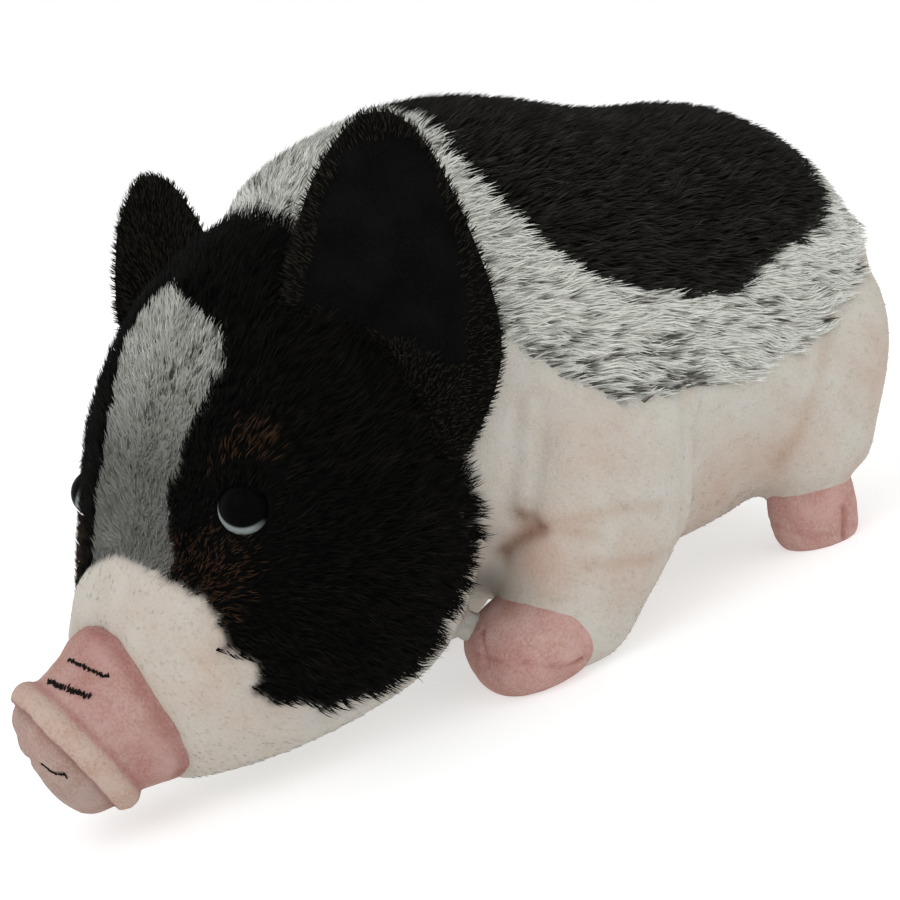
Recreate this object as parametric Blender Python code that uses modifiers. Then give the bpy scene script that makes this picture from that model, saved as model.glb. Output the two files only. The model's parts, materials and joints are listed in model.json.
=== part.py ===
"""A standing plush pot-bellied pig: a stuffed soft toy of black, frosted and short white plush with
a pink suede snout and hooves. It faces -Y, its left side is +X and it stands on z = 0. Metres.

The soft pieces reach out to the tips of the pile. Each is a row of rounded sections, bridged and
subdivided, and pieces that are sewn together are cut apart with a thin gap at the seam."""

import math
from collections import namedtuple

import bmesh
import bpy
from mathutils import Matrix, Vector

# Driving dimensions
LENGTH = 0.290  # from the snout pad to the rump
MM = LENGTH / 290.0  # one millimetre of a toy that is 290 mm long
SEAM_GAP = 0.0003  # left between two pieces that are sewn together
WELD = 0.00008  # cuts leave no edge shorter than this
EYE_RADIUS = 6.8 * MM
EYE_SINK = 4.6 * MM  # how far the middle of an eye lies under the tips of the pile

# Where the pieces are sewn together, as the y and z of a point on the seam and the lean of the
# seam's plane in degrees
COLLAR_SEAM = (-10, 84, 6)
MUZZLE_SEAM = (-112, 60, 15)
PAD_SEAM = (-136, 25.6, 23)

# The head looks to its left about an upright axis in the neck, and tips a little to that side
NECK_PIVOT = Vector((0, -20.5, 84)) * MM
HEAD_YAW = math.radians(10.5)
HEAD_ROLL = math.radians(3)
HEAD_SHIFT = Vector((-3, 0, 0)) * MM
PAD_PIVOT = Vector((-9.7, -136, 25.6)) * MM
PAD_YAW = math.radians(-17)

# How finely the soft forms are made
BODY_SIDES = 20
LIMB_SIDES = 14
TAIL_SIDES = 8
EYE_SEGMENTS = 20
EYE_RINGS = 12
BLOCK_SIZE = 0.4  # a block that cuts is far larger than the pig

# A section of a soft form, in millimetres: the place of its centre, how far its top leans forward
# from upright in degrees, how far it reaches sideways, upwards and downwards, and how square its
# corners are, where 2 is an ellipse. A section that leans 90 lies level: its up then points
# forward and its down backward. The last number turns it to the toy's left, in degrees.
Section = namedtuple("Section", "x y z lean half_width up down square yaw", defaults=(0,))

TRUNK = (
    Section(0, -46, 84, 16, 26, 34, 36, 2.1),
    Section(0, -41, 85, 14, 43, 53, 57, 2.2),
    Section(0, -28, 86, 10, 55, 70, 71, 2.2),
    Section(0, -8, 86, 4, 58, 76, 76, 2.2),
    Section(0, 16, 86, 0, 60, 77, 77, 2.2),
    Section(0, 40, 84, 0, 60, 71, 76, 2.3),
    Section(0, 68, 80, 0, 58, 62, 72, 2.3),
    Section(0, 92, 79, 0, 57, 62, 66, 2.3),
    Section(0, 113, 78, 0, 53, 53, 52, 2.2),
    Section(0, 131, 77, 0, 42, 36, 38, 2.1),
    Section(0, 141, 77, 0, 25, 20, 20, 2.0),
)
HEAD = (
    Section(0, -22, 88, 6, 38, 56, 46, 2.0),
    Section(0, -34, 83, 12, 55, 66, 60, 2.2),
    Section(0, -54, 73, 18, 61, 65, 64, 2.3),
    Section(0, -72, 63, 23, 60, 55, 62, 2.5),
    Section(0, -87, 53, 25, 53, 43, 54, 2.5),
    Section(0, -100, 44, 24, 44, 33, 45, 2.5),
    Section(0, -112, 37, 20, 36, 25, 35, 2.4),
    Section(-3.5, -120, 33, 15, 30, 19, 28, 2.3),
    Section(-6.5, -125, 29, 14, 21, 14, 24, 2.1),
)
SNOUT = (
    Section(-3, -113, 34, 10, 24, 22, 23, 2.0),
    Section(-4, -119, 32, 12, 27, 25, 26, 2.1),
    Section(-6.5, -127.5, 28.6, 17, 21.5, 20.5, 21.5, 2.1, -8),
    Section(-8.5, -133, 26.8, 22, 20.5, 20, 20.5, 2.1, -16),
    Section(-9.7, -136, 25.6, 23, 23.5, 22.8, 23, 2.1, -17),
    Section(-11, -139.3, 24.3, 23, 22, 21.4, 21.6, 2.1, -17),
    Section(-12.8, -144, 21.4, 23, 15, 13.5, 15, 2.0, -17),
)
FRONT_LEG = (
    Section(34, 21, 88, 90, 12, 16, 17, 2.2),
    Section(38, 18, 80, 90, 19, 26, 27, 2.4),
    Section(41, 15, 62, 90, 22, 30, 34, 2.5),
    Section(41, 12, 42, 90, 22, 29, 36, 2.6),
    Section(40, 6, 24, 90, 21, 26, 34, 2.5),
    Section(40, -3, 9, 90, 18, 18, 19, 2.3),
    Section(40, -5, -2, 90, 15, 14, 13, 2.2),
)
FRONT_HOOF = (
    Section(39, 1, 13, 0, 12, 8, 10, 2.2),
    Section(39, -7, 12, 0, 18, 14, 13, 2.3),
    Section(39, -17, 11, 0, 20, 14, 13, 2.3),
    Section(38, -28, 10, 0, 17, 11, 12, 2.2),
    Section(38, -32, 10, 0, 10, 7, 8, 2.0),
)
HIND_LEG = (
    Section(32, 108, 90, 90, 11, 16, 12, 2.2),
    Section(35, 106, 80, 90, 18, 27, 22, 2.3),
    Section(38, 102, 60, 90, 22, 31, 28, 2.4),
    Section(38, 97, 42, 90, 20, 26, 26, 2.4),
    Section(38, 92, 28, 90, 18, 21, 21, 2.3),
    Section(38, 91, 20, 90, 17, 19, 19, 2.3),
    Section(38, 91, 17, 90, 11, 12, 12, 2.2),
)
HIND_HOOF = (
    Section(37, 89, 26, 90, 9, 9, 9, 2.1),
    Section(37, 89, 19, 90, 13, 13, 12, 2.1),
    Section(37, 88, 7, 90, 13, 14, 12, 2.1),
    Section(37, 88, -4, 90, 12, 12, 11, 2.1),
)
TAIL = (
    Section(0, 130, 84, 100, 6, 6, 6, 2.0),
    Section(0, 139, 82, 115, 5.5, 5.5, 5.5, 2.0),
    Section(0, 145, 75, 65, 4.8, 4.8, 4.8, 2.0),
    Section(0, 146, 65, 90, 4.3, 4.3, 4.3, 2.0),
    Section(0, 145, 55, 90, 4, 4, 4, 2.0),
    Section(0, 145, 50, 90, 2.5, 2.5, 2.5, 2.0),
)
# An ear stands along z here, from its root to its tip, and its cup opens to -y
EAR = (
    Section(3, 0, -40, 90, 12, 3.0, 3.0, 2.0),
    Section(2, 0, -34, 90, 20, 4.0, 4.0, 2.1),
    Section(1, 0, -22, 90, 27.5, 4.4, 4.4, 2.1),
    Section(1, 0, -10, 90, 29.5, 4.4, 4.4, 2.1),
    Section(0, 0, 2, 90, 28, 4.4, 4.4, 2.1),
    Section(-1, 0, 14, 90, 24.5, 4.4, 4.4, 2.1),
    Section(-2, 0, 26, 90, 20, 4.2, 4.2, 2.1),
    Section(-2, 0, 36, 90, 15, 4.0, 4.0, 2.1),
    Section(-2, 0, 43, 90, 9.5, 3.6, 3.6, 2.0),
    Section(-2, 0, 48, 90, 4, 2.4, 2.4, 2.0),
)
EAR_CUP = 7.0  # how far forward the rims of an ear curl, at its widest
EAR_HALF_WIDTH = 29.5
EAR_PLACE = Vector((50.4, -42.6, 116.0))
EAR_ACROSS = Vector((0.683, 0.690, -0.241))
EAR_ALONG = Vector((0.169, 0.171, 0.971))
# The right ear has flopped: it leans out and opens forward, about a point in its root
FLOP_PIVOT = Vector((-42, -48, 100)) * MM
FLOP_LEAN = math.radians(-17)
FLOP_TWIST = math.radians(-25)
EYE_PLACE = Vector((42.6, -97.3, 80.5))
EYE_FACING = Vector((0.62, -0.71, 0.32))

# Colour and roughness of each material
BLACK_PLUSH = ((0.012, 0.011, 0.010), 0.95)
FROSTED_PLUSH = ((0.30, 0.29, 0.27), 0.95)
WHITE_PLUSH = ((0.80, 0.74, 0.66), 0.95)
PINK_SUEDE = ((0.62, 0.36, 0.33), 0.90)
EYE_PLASTIC = ((0.008, 0.008, 0.009), 0.08)


def fresh_scene():
    """Removes the objects that a new scene holds."""
    for obj in list(bpy.data.objects):
        bpy.data.objects.remove(obj, do_unlink=True)


def new_collection(name):
    collection = bpy.data.collections.new(name)
    bpy.context.scene.collection.children.link(collection)
    return collection


def pad_turn():
    """The snout is pressed a little to the toy's right, and its pad faces that way."""
    return Matrix.Translation(PAD_PIVOT) @ Matrix.Rotation(PAD_YAW, 4, "Z") @ Matrix.Translation(-PAD_PIVOT)


def flop_turn():
    """The turn that lets the right ear down."""
    turn = Matrix.Rotation(FLOP_LEAN, 4, "Y") @ Matrix.Rotation(FLOP_TWIST, 4, "Z")
    return Matrix.Translation(FLOP_PIVOT) @ turn @ Matrix.Translation(-FLOP_PIVOT)


def head_turn():
    """The turn that takes a straight head to the pose of the toy's head."""
    turn = Matrix.Rotation(HEAD_YAW, 4, "Z") @ Matrix.Rotation(HEAD_ROLL, 4, "Y")
    return Matrix.Translation(NECK_PIVOT + HEAD_SHIFT) @ turn @ Matrix.Translation(-NECK_PIVOT)


def squared(angle, square):
    """The point at an angle on a unit ellipse whose corners are filled out."""
    cos, sin = math.cos(angle), math.sin(angle)
    power = 2 / square
    return math.copysign(abs(cos) ** power, cos), math.copysign(abs(sin) ** power, sin)


def add_ring(bm, section, sides):
    """Adds the closed outline of one section and returns its edges."""
    turn = Matrix.Rotation(math.radians(section.yaw), 3, "Z")
    turn @= Matrix.Rotation(math.radians(section.lean), 3, "X")
    centre = Vector((section.x, section.y, section.z))
    verts = []
    for i in range(sides):
        angle = 2 * math.pi * i / sides
        across, upward = squared(angle, section.square)
        reach = section.up if upward > 0 else section.down
        flat = Vector((section.half_width * across, 0, reach * upward))
        verts.append(bm.verts.new((centre + turn @ flat) * MM))
    return [bm.edges.new((verts[i], verts[(i + 1) % sides])) for i in range(sides)]


def cage(name, sections, sides):
    """A closed mesh of bridged sections."""
    bm = bmesh.new()
    rings = [add_ring(bm, section, sides) for section in sections]
    for near, far in zip(rings, rings[1:]):
        bmesh.ops.bridge_loops(bm, edges=near + far)
    for ring in (rings[0], rings[-1]):
        bmesh.ops.contextual_create(bm, geom=ring)
    bmesh.ops.recalc_face_normals(bm, faces=bm.faces)
    mesh = bpy.data.meshes.new(name)
    bm.to_mesh(mesh)
    bm.free()
    return mesh


def moved(mesh, matrix):
    """Moves a mesh, and turns its faces back out where the move mirrors it."""
    mesh.transform(matrix)
    if matrix.determinant() < 0:
        mesh.flip_normals()
    return mesh


def mirror_for(side):
    return Matrix.Diagonal((side, 1, 1, 1))


def soft_form(name, mesh, collection):
    """An object whose cage a subdivision surface rounds."""
    obj = bpy.data.objects.new(name, mesh)
    collection.objects.link(obj)
    rounding = obj.modifiers.new("Rounding", "SUBSURF")
    rounding.levels = rounding.render_levels = 1
    return obj


def guide(obj):
    """Keeps a cutter out of the model."""
    obj.hide_render = True
    obj.display_type = "WIRE"
    return obj


def seam_allowance(source, cutters):
    """A copy of a piece, grown by the gap that its neighbours keep to it."""
    obj = bpy.data.objects.new(source.name + "_allowance", source.data)
    cutters.objects.link(obj)
    for modifier in source.modifiers:
        if modifier.type == "SUBSURF":
            copy = obj.modifiers.new("Rounding", "SUBSURF")
            copy.levels = copy.render_levels = modifier.levels
    grow = obj.modifiers.new("Grow", "DISPLACE")
    grow.strength = SEAM_GAP
    grow.mid_level = 0
    return guide(obj)


def seam_block(name, seam, cutters, grow=0.0, turn=None):
    """A large block that fills all that lies in front of a seam's plane."""
    y, z, lean = seam
    bm = bmesh.new()
    bmesh.ops.create_cube(bm, size=BLOCK_SIZE)
    bmesh.ops.translate(bm, verts=bm.verts, vec=(0, grow - BLOCK_SIZE / 2, 0))
    place = Matrix.Translation(Vector((0, y, z)) * MM)
    bm.transform(place @ Matrix.Rotation(math.radians(lean), 4, "X"))
    if turn is not None:
        bm.transform(turn)
    mesh = bpy.data.meshes.new(name)
    bm.to_mesh(mesh)
    bm.free()
    obj = bpy.data.objects.new(name, mesh)
    cutters.objects.link(obj)
    return guide(obj)


def floor_block(cutters):
    """A block under the floor, which gives the soles their flats."""
    bm = bmesh.new()
    bmesh.ops.create_cube(bm, size=BLOCK_SIZE)
    bmesh.ops.translate(bm, verts=bm.verts, vec=(0, 0, -BLOCK_SIZE / 2))
    mesh = bpy.data.meshes.new("floor_block")
    bm.to_mesh(mesh)
    bm.free()
    obj = bpy.data.objects.new("floor_block", mesh)
    cutters.objects.link(obj)
    return guide(obj)


def cut(obj, *cutters, operation="DIFFERENCE"):
    for cutter in cutters:
        boolean = obj.modifiers.new("Cut " + cutter.name, "BOOLEAN")
        boolean.operation = operation
        boolean.object = cutter
        boolean.solver = "MANIFOLD"


def finish(obj, colour, roughness):
    """Welds the slivers that cuts leave, and gives a piece its own material and smooth shading."""
    weld = obj.modifiers.new("Weld", "WELD")
    weld.merge_threshold = WELD
    made = bpy.data.materials.new(obj.name)
    made.use_nodes = True
    shader = made.node_tree.nodes["Principled BSDF"]
    shader.inputs["Base Color"].default_value = (*colour, 1.0)
    shader.inputs["Roughness"].default_value = roughness
    shader.inputs["Metallic"].default_value = 0.0
    obj.data = obj.data.copy() if obj.data.users > 1 else obj.data
    obj.data.materials.append(made)
    obj.data.shade_smooth()


def cupped_ear(name, side):
    """The cage of an ear whose rims curl forward, set on its side of the straight head."""
    mesh = cage(name, EAR, LIMB_SIDES)
    for vert in mesh.vertices:
        share = vert.co.x / (EAR_HALF_WIDTH * MM)
        vert.co.y -= EAR_CUP * MM * share * share
    across = EAR_ACROSS.normalized()
    along = (EAR_ALONG - across * across.dot(EAR_ALONG)).normalized()
    behind = along.cross(across)
    place = Matrix((across, behind, along)).transposed().to_4x4()
    place.translation = EAR_PLACE * MM
    mesh = moved(mesh, mirror_for(side) @ place)
    return mesh if side > 0 else moved(mesh, flop_turn())


def eye_bead(name, side):
    """The mesh of one round plastic eye on the straight head."""
    bm = bmesh.new()
    bmesh.ops.create_uvsphere(
        bm, u_segments=EYE_SEGMENTS, v_segments=EYE_RINGS, radius=EYE_RADIUS
    )
    mesh = bpy.data.meshes.new(name)
    bm.to_mesh(mesh)
    bm.free()
    facing = EYE_FACING.normalized()
    place = facing.to_track_quat("Z", "Y").to_matrix().to_4x4()
    place.translation = EYE_PLACE * MM - facing * EYE_SINK
    return moved(mesh, mirror_for(side) @ place)


def make_head(pig, cutters):
    """The head, muzzle, snout, snout pad, ears and eyes."""
    turn = head_turn()
    whole = guide(soft_form("head_form", moved(cage("head_form", HEAD, BODY_SIDES), turn), cutters))
    allowance = seam_allowance(whole, cutters)

    muzzle = soft_form("muzzle", whole.data.copy(), pig)
    cut(muzzle, seam_block("muzzle_front", MUZZLE_SEAM, cutters, turn=turn), operation="INTERSECT")
    head = soft_form("head", whole.data.copy(), pig)
    cut(head, seam_block("head_front", MUZZLE_SEAM, cutters, SEAM_GAP, turn))

    look = turn @ pad_turn()
    snout_mesh = moved(cage("snout", SNOUT, LIMB_SIDES), turn)
    pad = soft_form("snout_pad", snout_mesh.copy(), pig)
    cut(pad, seam_block("pad_front", PAD_SEAM, cutters, turn=look), operation="INTERSECT")
    snout = soft_form("snout", snout_mesh, pig)
    cut(snout, seam_block("snout_front", PAD_SEAM, cutters, SEAM_GAP, look), allowance)

    ears = []
    for name, side in (("left", 1), ("right", -1)):
        ear = soft_form("ear_" + name, moved(cupped_ear("ear_" + name, side), turn), pig)
        ears.append(seam_allowance(ear, cutters))
        cut(ear, allowance)
        finish(ear, *BLACK_PLUSH)

        eye = bpy.data.objects.new("eye_" + name, moved(eye_bead("eye_" + name, side), turn))
        pig.objects.link(eye)
        cut(head, seam_allowance(eye, cutters))
        finish(eye, *EYE_PLASTIC)

    finish(head, *BLACK_PLUSH)
    finish(muzzle, *WHITE_PLUSH)
    finish(snout, *PINK_SUEDE)
    finish(pad, *PINK_SUEDE)
    return [allowance] + ears


def make_trunk(pig, cutters, head_parts):
    """The neck and the torso, parted by the collar seam."""
    whole = guide(soft_form("trunk_form", cage("trunk_form", TRUNK, BODY_SIDES), cutters))
    neck = soft_form("neck", whole.data.copy(), pig)
    cut(neck, seam_block("neck_front", COLLAR_SEAM, cutters), operation="INTERSECT")
    cut(neck, *head_parts)
    torso = soft_form("torso", whole.data.copy(), pig)
    cut(torso, seam_block("torso_front", COLLAR_SEAM, cutters, SEAM_GAP), head_parts[0])
    finish(neck, *WHITE_PLUSH)
    finish(torso, *FROSTED_PLUSH)
    return seam_allowance(whole, cutters)


def make_limbs(pig, cutters, trunk_allowance, head_allowance):
    """The legs with their hooves, cut level at the floor, and the tail."""
    floor = floor_block(cutters)
    for name, side in (("left", 1), ("right", -1)):
        for end, leg_sections, hoof_sections in (
            ("front_", FRONT_LEG, FRONT_HOOF),
            ("hind_", HIND_LEG, HIND_HOOF),
        ):
            hoof_name = "hoof_" + end + name
            hoof_mesh = moved(cage(hoof_name, hoof_sections, LIMB_SIDES), mirror_for(side))
            hoof = soft_form(hoof_name, hoof_mesh, pig)
            hoof_allowance = seam_allowance(hoof, cutters)
            cut(hoof, floor, trunk_allowance, head_allowance)
            finish(hoof, *PINK_SUEDE)

            leg_name = "leg_" + end + name
            leg_mesh = moved(cage(leg_name, leg_sections, LIMB_SIDES), mirror_for(side))
            leg = soft_form(leg_name, leg_mesh, pig)
            cut(leg, floor, trunk_allowance, hoof_allowance, head_allowance)
            finish(leg, *WHITE_PLUSH)

    tail = soft_form("tail", cage("tail", TAIL, TAIL_SIDES), pig)
    cut(tail, trunk_allowance)
    finish(tail, *WHITE_PLUSH)


def centre(pig, cutters):
    """Moves the pig so that the middle of its footprint is at the origin."""
    bpy.context.view_layer.update()
    corners = [Vector(corner) for obj in pig.objects for corner in obj.bound_box]
    low = [min(corner[axis] for corner in corners) for axis in range(3)]
    high = [max(corner[axis] for corner in corners) for axis in range(3)]
    shift = Matrix.Translation((-(low[0] + high[0]) / 2, -(low[1] + high[1]) / 2, 0))
    for mesh in {obj.data for obj in list(pig.objects) + list(cutters.objects)}:
        mesh.transform(shift)


def main():
    fresh_scene()
    pig = new_collection("plush_pig")
    cutters = new_collection("cutters")
    head_parts = make_head(pig, cutters)
    trunk_allowance = make_trunk(pig, cutters, head_parts)
    make_limbs(pig, cutters, trunk_allowance, head_parts[0])
    centre(pig, cutters)


main()
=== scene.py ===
"""A stuffed plush pot-bellied pig as a Blender add-on, with a plain white studio around it.

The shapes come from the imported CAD, which is the frame. One cloth skin replaces the plush nodes and
lies inside them by the depth of the pile, and the pile is solid tufts of mesh over it."""

import functools
import json
import math

import bmesh
import bpy
import numpy as np
from mathutils import Matrix, Vector, noise
from mathutils.bvhtree import BVHTree

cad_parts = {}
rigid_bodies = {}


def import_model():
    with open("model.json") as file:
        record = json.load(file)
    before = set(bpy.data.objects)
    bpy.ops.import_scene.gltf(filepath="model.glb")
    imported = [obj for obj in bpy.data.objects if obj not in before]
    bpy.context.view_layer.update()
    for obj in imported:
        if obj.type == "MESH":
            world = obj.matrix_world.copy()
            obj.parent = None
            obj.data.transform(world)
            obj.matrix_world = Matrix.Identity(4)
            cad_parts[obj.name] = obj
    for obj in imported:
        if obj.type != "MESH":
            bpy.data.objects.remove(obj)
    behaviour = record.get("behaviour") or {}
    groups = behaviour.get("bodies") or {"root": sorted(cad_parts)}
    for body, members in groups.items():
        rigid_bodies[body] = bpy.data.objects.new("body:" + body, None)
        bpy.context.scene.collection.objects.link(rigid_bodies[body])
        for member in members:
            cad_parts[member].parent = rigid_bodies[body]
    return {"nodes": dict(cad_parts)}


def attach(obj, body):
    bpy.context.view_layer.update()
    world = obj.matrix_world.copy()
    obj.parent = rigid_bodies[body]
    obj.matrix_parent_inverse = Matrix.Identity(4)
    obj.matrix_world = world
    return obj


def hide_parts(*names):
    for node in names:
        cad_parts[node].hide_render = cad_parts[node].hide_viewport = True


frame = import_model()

bl_info = {
    "name": "Plush Pot-Bellied Pig",
    "version": (1, 0, 0),
    "blender": (4, 5, 0),
    "location": "3D View > Sidebar > Plush Pig",
    "description": "Builds a stuffed plush pot-bellied pig and a white studio around it",
    "category": "Object",
}

MM = 0.001


def spin(degrees, axis):
    """A turn round an axis."""
    return Matrix.Rotation(math.radians(degrees), 4, axis)


# The place of the model in the frame, and the turns of its head and of the pad of its snout
ORIGIN = Vector((-1.86, -0.37, 0)) * MM
NECK_PIVOT = Vector((0, -20.5, 84)) * MM
HEAD_SHIFT = Vector((-3, 0, 0)) * MM
PAD_PIVOT = Vector((-9.2, -134, 26.2)) * MM
HEAD_FRAME = (
    Matrix.Translation(ORIGIN + NECK_PIVOT + HEAD_SHIFT)
    @ spin(10.5, "Z")
    @ spin(3, "Y")
    @ Matrix.Translation(-NECK_PIVOT)
)
PAD_FRAME = Matrix.Translation(PAD_PIVOT) @ spin(-11, "Z") @ spin(23, "X")

SIDES = {"left": 1, "right": -1}
ENDS = ("front", "hind")
LEGS = tuple(f"leg_{end}_{word}" for end in ENDS for word in SIDES)
HOOVES = tuple(f"hoof_{end}_{word}" for end in ENDS for word in SIDES)
FLESH = ("head", "muzzle", "neck", "torso", *LEGS, "tail")

# Kinds of plush
BLACK, FROST, CREAM = 0, 1, 2

# Where the kinds of plush meet on the head, in millimetres of the straight head. The blaze has a
# right and a left edge at each height, the black ends at a collar behind the ears, and the white
# muzzle ends at an arch that is given by its angle round the jaw.
BLAZE_Z = (60, 69, 83, 95, 104, 111, 118, 124, 128, 130)
BLAZE_LEFT = (23, 23.5, 21.5, 22, 27, 29, 25, 14, 3, -5)
BLAZE_RIGHT = (-13, -14, -16, -15, -15, -17, -19, -17, -12, -5)
COLLAR_Z = (20, 24, 54, 83, 120, 142, 160)
COLLAR_Y = (-30, -31, -34, -35, -41, -46, -50)
JAW_ANGLE = (-180, -170, -162, -150, -138, -127, -115, -104, -92, -80, -56, -35, -13, 3, 10, 18)
JAW_HALF_WIDTH = (46, 44, 41, 41, 42, 39.5, 36, 33, 31.5, 31, 31.5, 33, 32, 29, 21, 4)
JAW_MIDDLE_Y = -80
JAW_MIDDLE_Z = 60
MUZZLE_MIDDLE_X = 4
FACE_Y = -60
# In front of and below these, in metres, the cheek lies against the chest and a front leg. There
# the nearer one decides, with a margin for the chest under the jaw and for the head above it.
CHEEK_BACK_Y = -0.075
CHEEK_TOP_Z = 0.08
JAW_TOP_Z = 0.05

# Where they meet on the body, as an angle round the trunk against the distance along it
SADDLE_Y = (1, 1.7, 2.9, 6.4, 11.8, 22.6, 35, 53, 68.5, 74, 79, 89.7, 99.9, 109.8, 116, 119)
SADDLE_LOW = (74, 64, 52, 41, 30, 19, 10, 1, -3, -1, 4, 6, 5, 11, 22, 40)
FROST_Y = (-46, -20, -6, 4.5, 19, 42.5, 68.5, 84, 92, 98, 104.6, 115, 125, 141)
FROST_LOW = (45, 25, 8, -4, -15, -21.5, -24, -24, -22.5, -17, -14.5, -12, -4, 10)
SADDLE_FRONT_Y = 2.5
FROST_MIN_Z = 0.045
TRUNK_AXIS_Z = 84

# Corners of the CAD nearer than this are one corner
WELD = 0.00001


class Settings(bpy.types.PropertyGroup):
    seed: bpy.props.IntProperty(
        name="Seed", description="Changes how every tuft of the pile lies", default=7, min=0
    )
    pile: bpy.props.FloatProperty(
        name="Pile",
        description="Length of the tufts of the long plush",
        default=0.0062,
        min=0.002,
        max=0.012,
        unit="LENGTH",
    )
    nap: bpy.props.FloatProperty(
        name="Nap",
        description="Length of the tufts of the short white plush",
        default=0.0022,
        min=0.0005,
        max=0.005,
        unit="LENGTH",
    )
    density: bpy.props.FloatProperty(
        name="Density",
        description="Share of the tufts that are made",
        default=1.0,
        min=0.05,
        max=1.5,
    )


def settings():
    """The add-on's settings in this scene."""
    return bpy.context.scene.plush_pig


def share():
    return settings().density * 1.0


# Meshes


def link(name, data, collection="Plush pig"):
    """An object with that data at the origin, in the collection of that name."""
    home = bpy.data.collections.get(collection)
    if home is None:
        home = bpy.data.collections.new(collection)
        bpy.context.scene.collection.children.link(home)
    obj = bpy.data.objects.new(name.replace(" ", "_"), data)
    home.objects.link(obj)
    return obj


def mesh_from(bm, name):
    """Makes a mesh of a bmesh, which is freed."""
    mesh = bpy.data.meshes.new(name)
    bm.to_mesh(mesh)
    bm.free()
    return mesh


def finished(obj, name):
    """The mesh of an object with its modifiers applied, in place of the object."""
    graph = bpy.context.evaluated_depsgraph_get()
    mesh = bpy.data.meshes.new_from_object(obj.evaluated_get(graph))
    mesh.name = name
    bpy.data.objects.remove(obj)
    return mesh


def node_mesh(name, nodes, grow=0.0):
    """The welded shapes of some CAD nodes as one mesh, grown a little so that they meet."""
    bm = bmesh.new()
    for node in nodes:
        bm.from_mesh(frame["nodes"][node].data)
    bmesh.ops.remove_doubles(bm, verts=bm.verts, dist=WELD)
    bm.normal_update()
    for vert in bm.verts:
        vert.co += vert.normal * grow
    return mesh_from(bm, name)


def remeshed(name, nodes, voxel, rounds, grow=0.0004):
    """One smooth closed mesh round some CAD nodes."""
    obj = link(name, node_mesh(name, nodes, grow))
    remesh = obj.modifiers.new("Remesh", "REMESH")
    remesh.mode = "VOXEL"
    remesh.voxel_size = voxel
    smooth = obj.modifiers.new("Smooth", "SMOOTH")
    smooth.factor = 0.5
    smooth.iterations = rounds
    return finished(obj, name)


def rows_of(items, attribute, width, kind=float):
    """That attribute of each item of a mesh, as an array with a row for each."""
    values = np.empty(len(items) * width, kind)
    items.foreach_get(attribute, values)
    return values.reshape(-1, width)


def points_of(mesh):
    return rows_of(mesh.vertices, "co", 3)


def normals_of(mesh):
    return rows_of(mesh.vertex_normals, "vector", 3)


def set_points(mesh, points):
    mesh.vertices.foreach_set("co", np.ascontiguousarray(points, np.float32).ravel())
    mesh.update()


def triangles_of(mesh):
    mesh.calc_loop_triangles()
    return rows_of(mesh.loop_triangles, "vertices", 3, np.int32)


def edges_of(mesh):
    return rows_of(mesh.edges, "vertices", 2, np.int32)


def spread(values, edges, rounds):
    """Values at the vertices, each evened out with its neighbours'."""
    values = values.astype(float)
    shape = (-1,) + (1,) * (values.ndim - 1)
    count = np.bincount(edges.ravel(), minlength=len(values)).reshape(shape)
    for _ in range(rounds):
        total = np.zeros_like(values)
        np.add.at(total, edges[:, 0], values[edges[:, 1]])
        np.add.at(total, edges[:, 1], values[edges[:, 0]])
        values = 0.5 * values + 0.5 * total / np.maximum(count, 1)
    return values


def set_colours(mesh, name, colours):
    """Writes one colour to each vertex."""
    layer = mesh.attributes.new(name, "FLOAT_COLOR", "POINT")
    rgba = np.ones((len(colours), 4), np.float32)
    rgba[:, :3] = colours
    layer.data.foreach_set("color", rgba.ravel())


def tree_of(mesh):
    """A tree of the mesh's faces, for its nearest points."""
    return BVHTree.FromPolygons([v.co for v in mesh.vertices], triangles_of(mesh).tolist())


def wobble(points, scale, octaves=2):
    """Smooth noise from -1 to 1 at each point, with features of about that size in metres."""
    return np.array([noise.fractal(Vector(p) / scale, 0.9, 2.0, octaves) for p in points])


def to_world(points, matrix):
    """Points in metres of a turned part, as world points."""
    turn = np.array(matrix)
    return points @ turn[:3, :3].T + turn[:3, 3]


def to_local(points, matrix):
    """World points, as points in millimetres of a turned part."""
    return to_world(points, matrix.inverted()) / MM


def bell(gap, width):
    """1 where the gap is 0, and hardly anything from twice that width on."""
    return np.exp(-((gap / width) ** 2))


def blend(start, end, part):
    """From the start, that part of the way to the end."""
    return start + (end - start) * part


def near_lines(points, lines):
    """The distance in millimetres from each point to the nearest of some polylines."""
    best = np.full(len(points), 1e9)
    spots = points / MM
    for line in lines:
        for start, end in zip(line, line[1:]):
            a, b = np.array(start, float), np.array(end, float)
            along = b - a
            t = np.clip(((spots - a) @ along) / (along @ along), 0, 1)
            best = np.minimum(best, np.linalg.norm(spots - a - t[:, None] * along, axis=1))
    return best


# Markings


def trunk_angle(points):
    """The angle round the trunk, where 90 is the back and -90 the belly, alike on both sides."""
    x = np.abs(points[:, 0] / MM - ORIGIN.x / MM)
    return np.degrees(np.arctan2(points[:, 2] / MM - TRUNK_AXIS_Z, x))


@functools.cache
def node_tree(*nodes):
    mesh = node_mesh("Nodes", nodes)
    tree = tree_of(mesh)
    bpy.data.meshes.remove(mesh)
    return tree


def gaps(points, *nodes):
    """How far each point lies from the surface of some CAD nodes."""
    tree = node_tree(*nodes)
    return np.array([tree.find_nearest(Vector(point))[3] for point in points])


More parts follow.
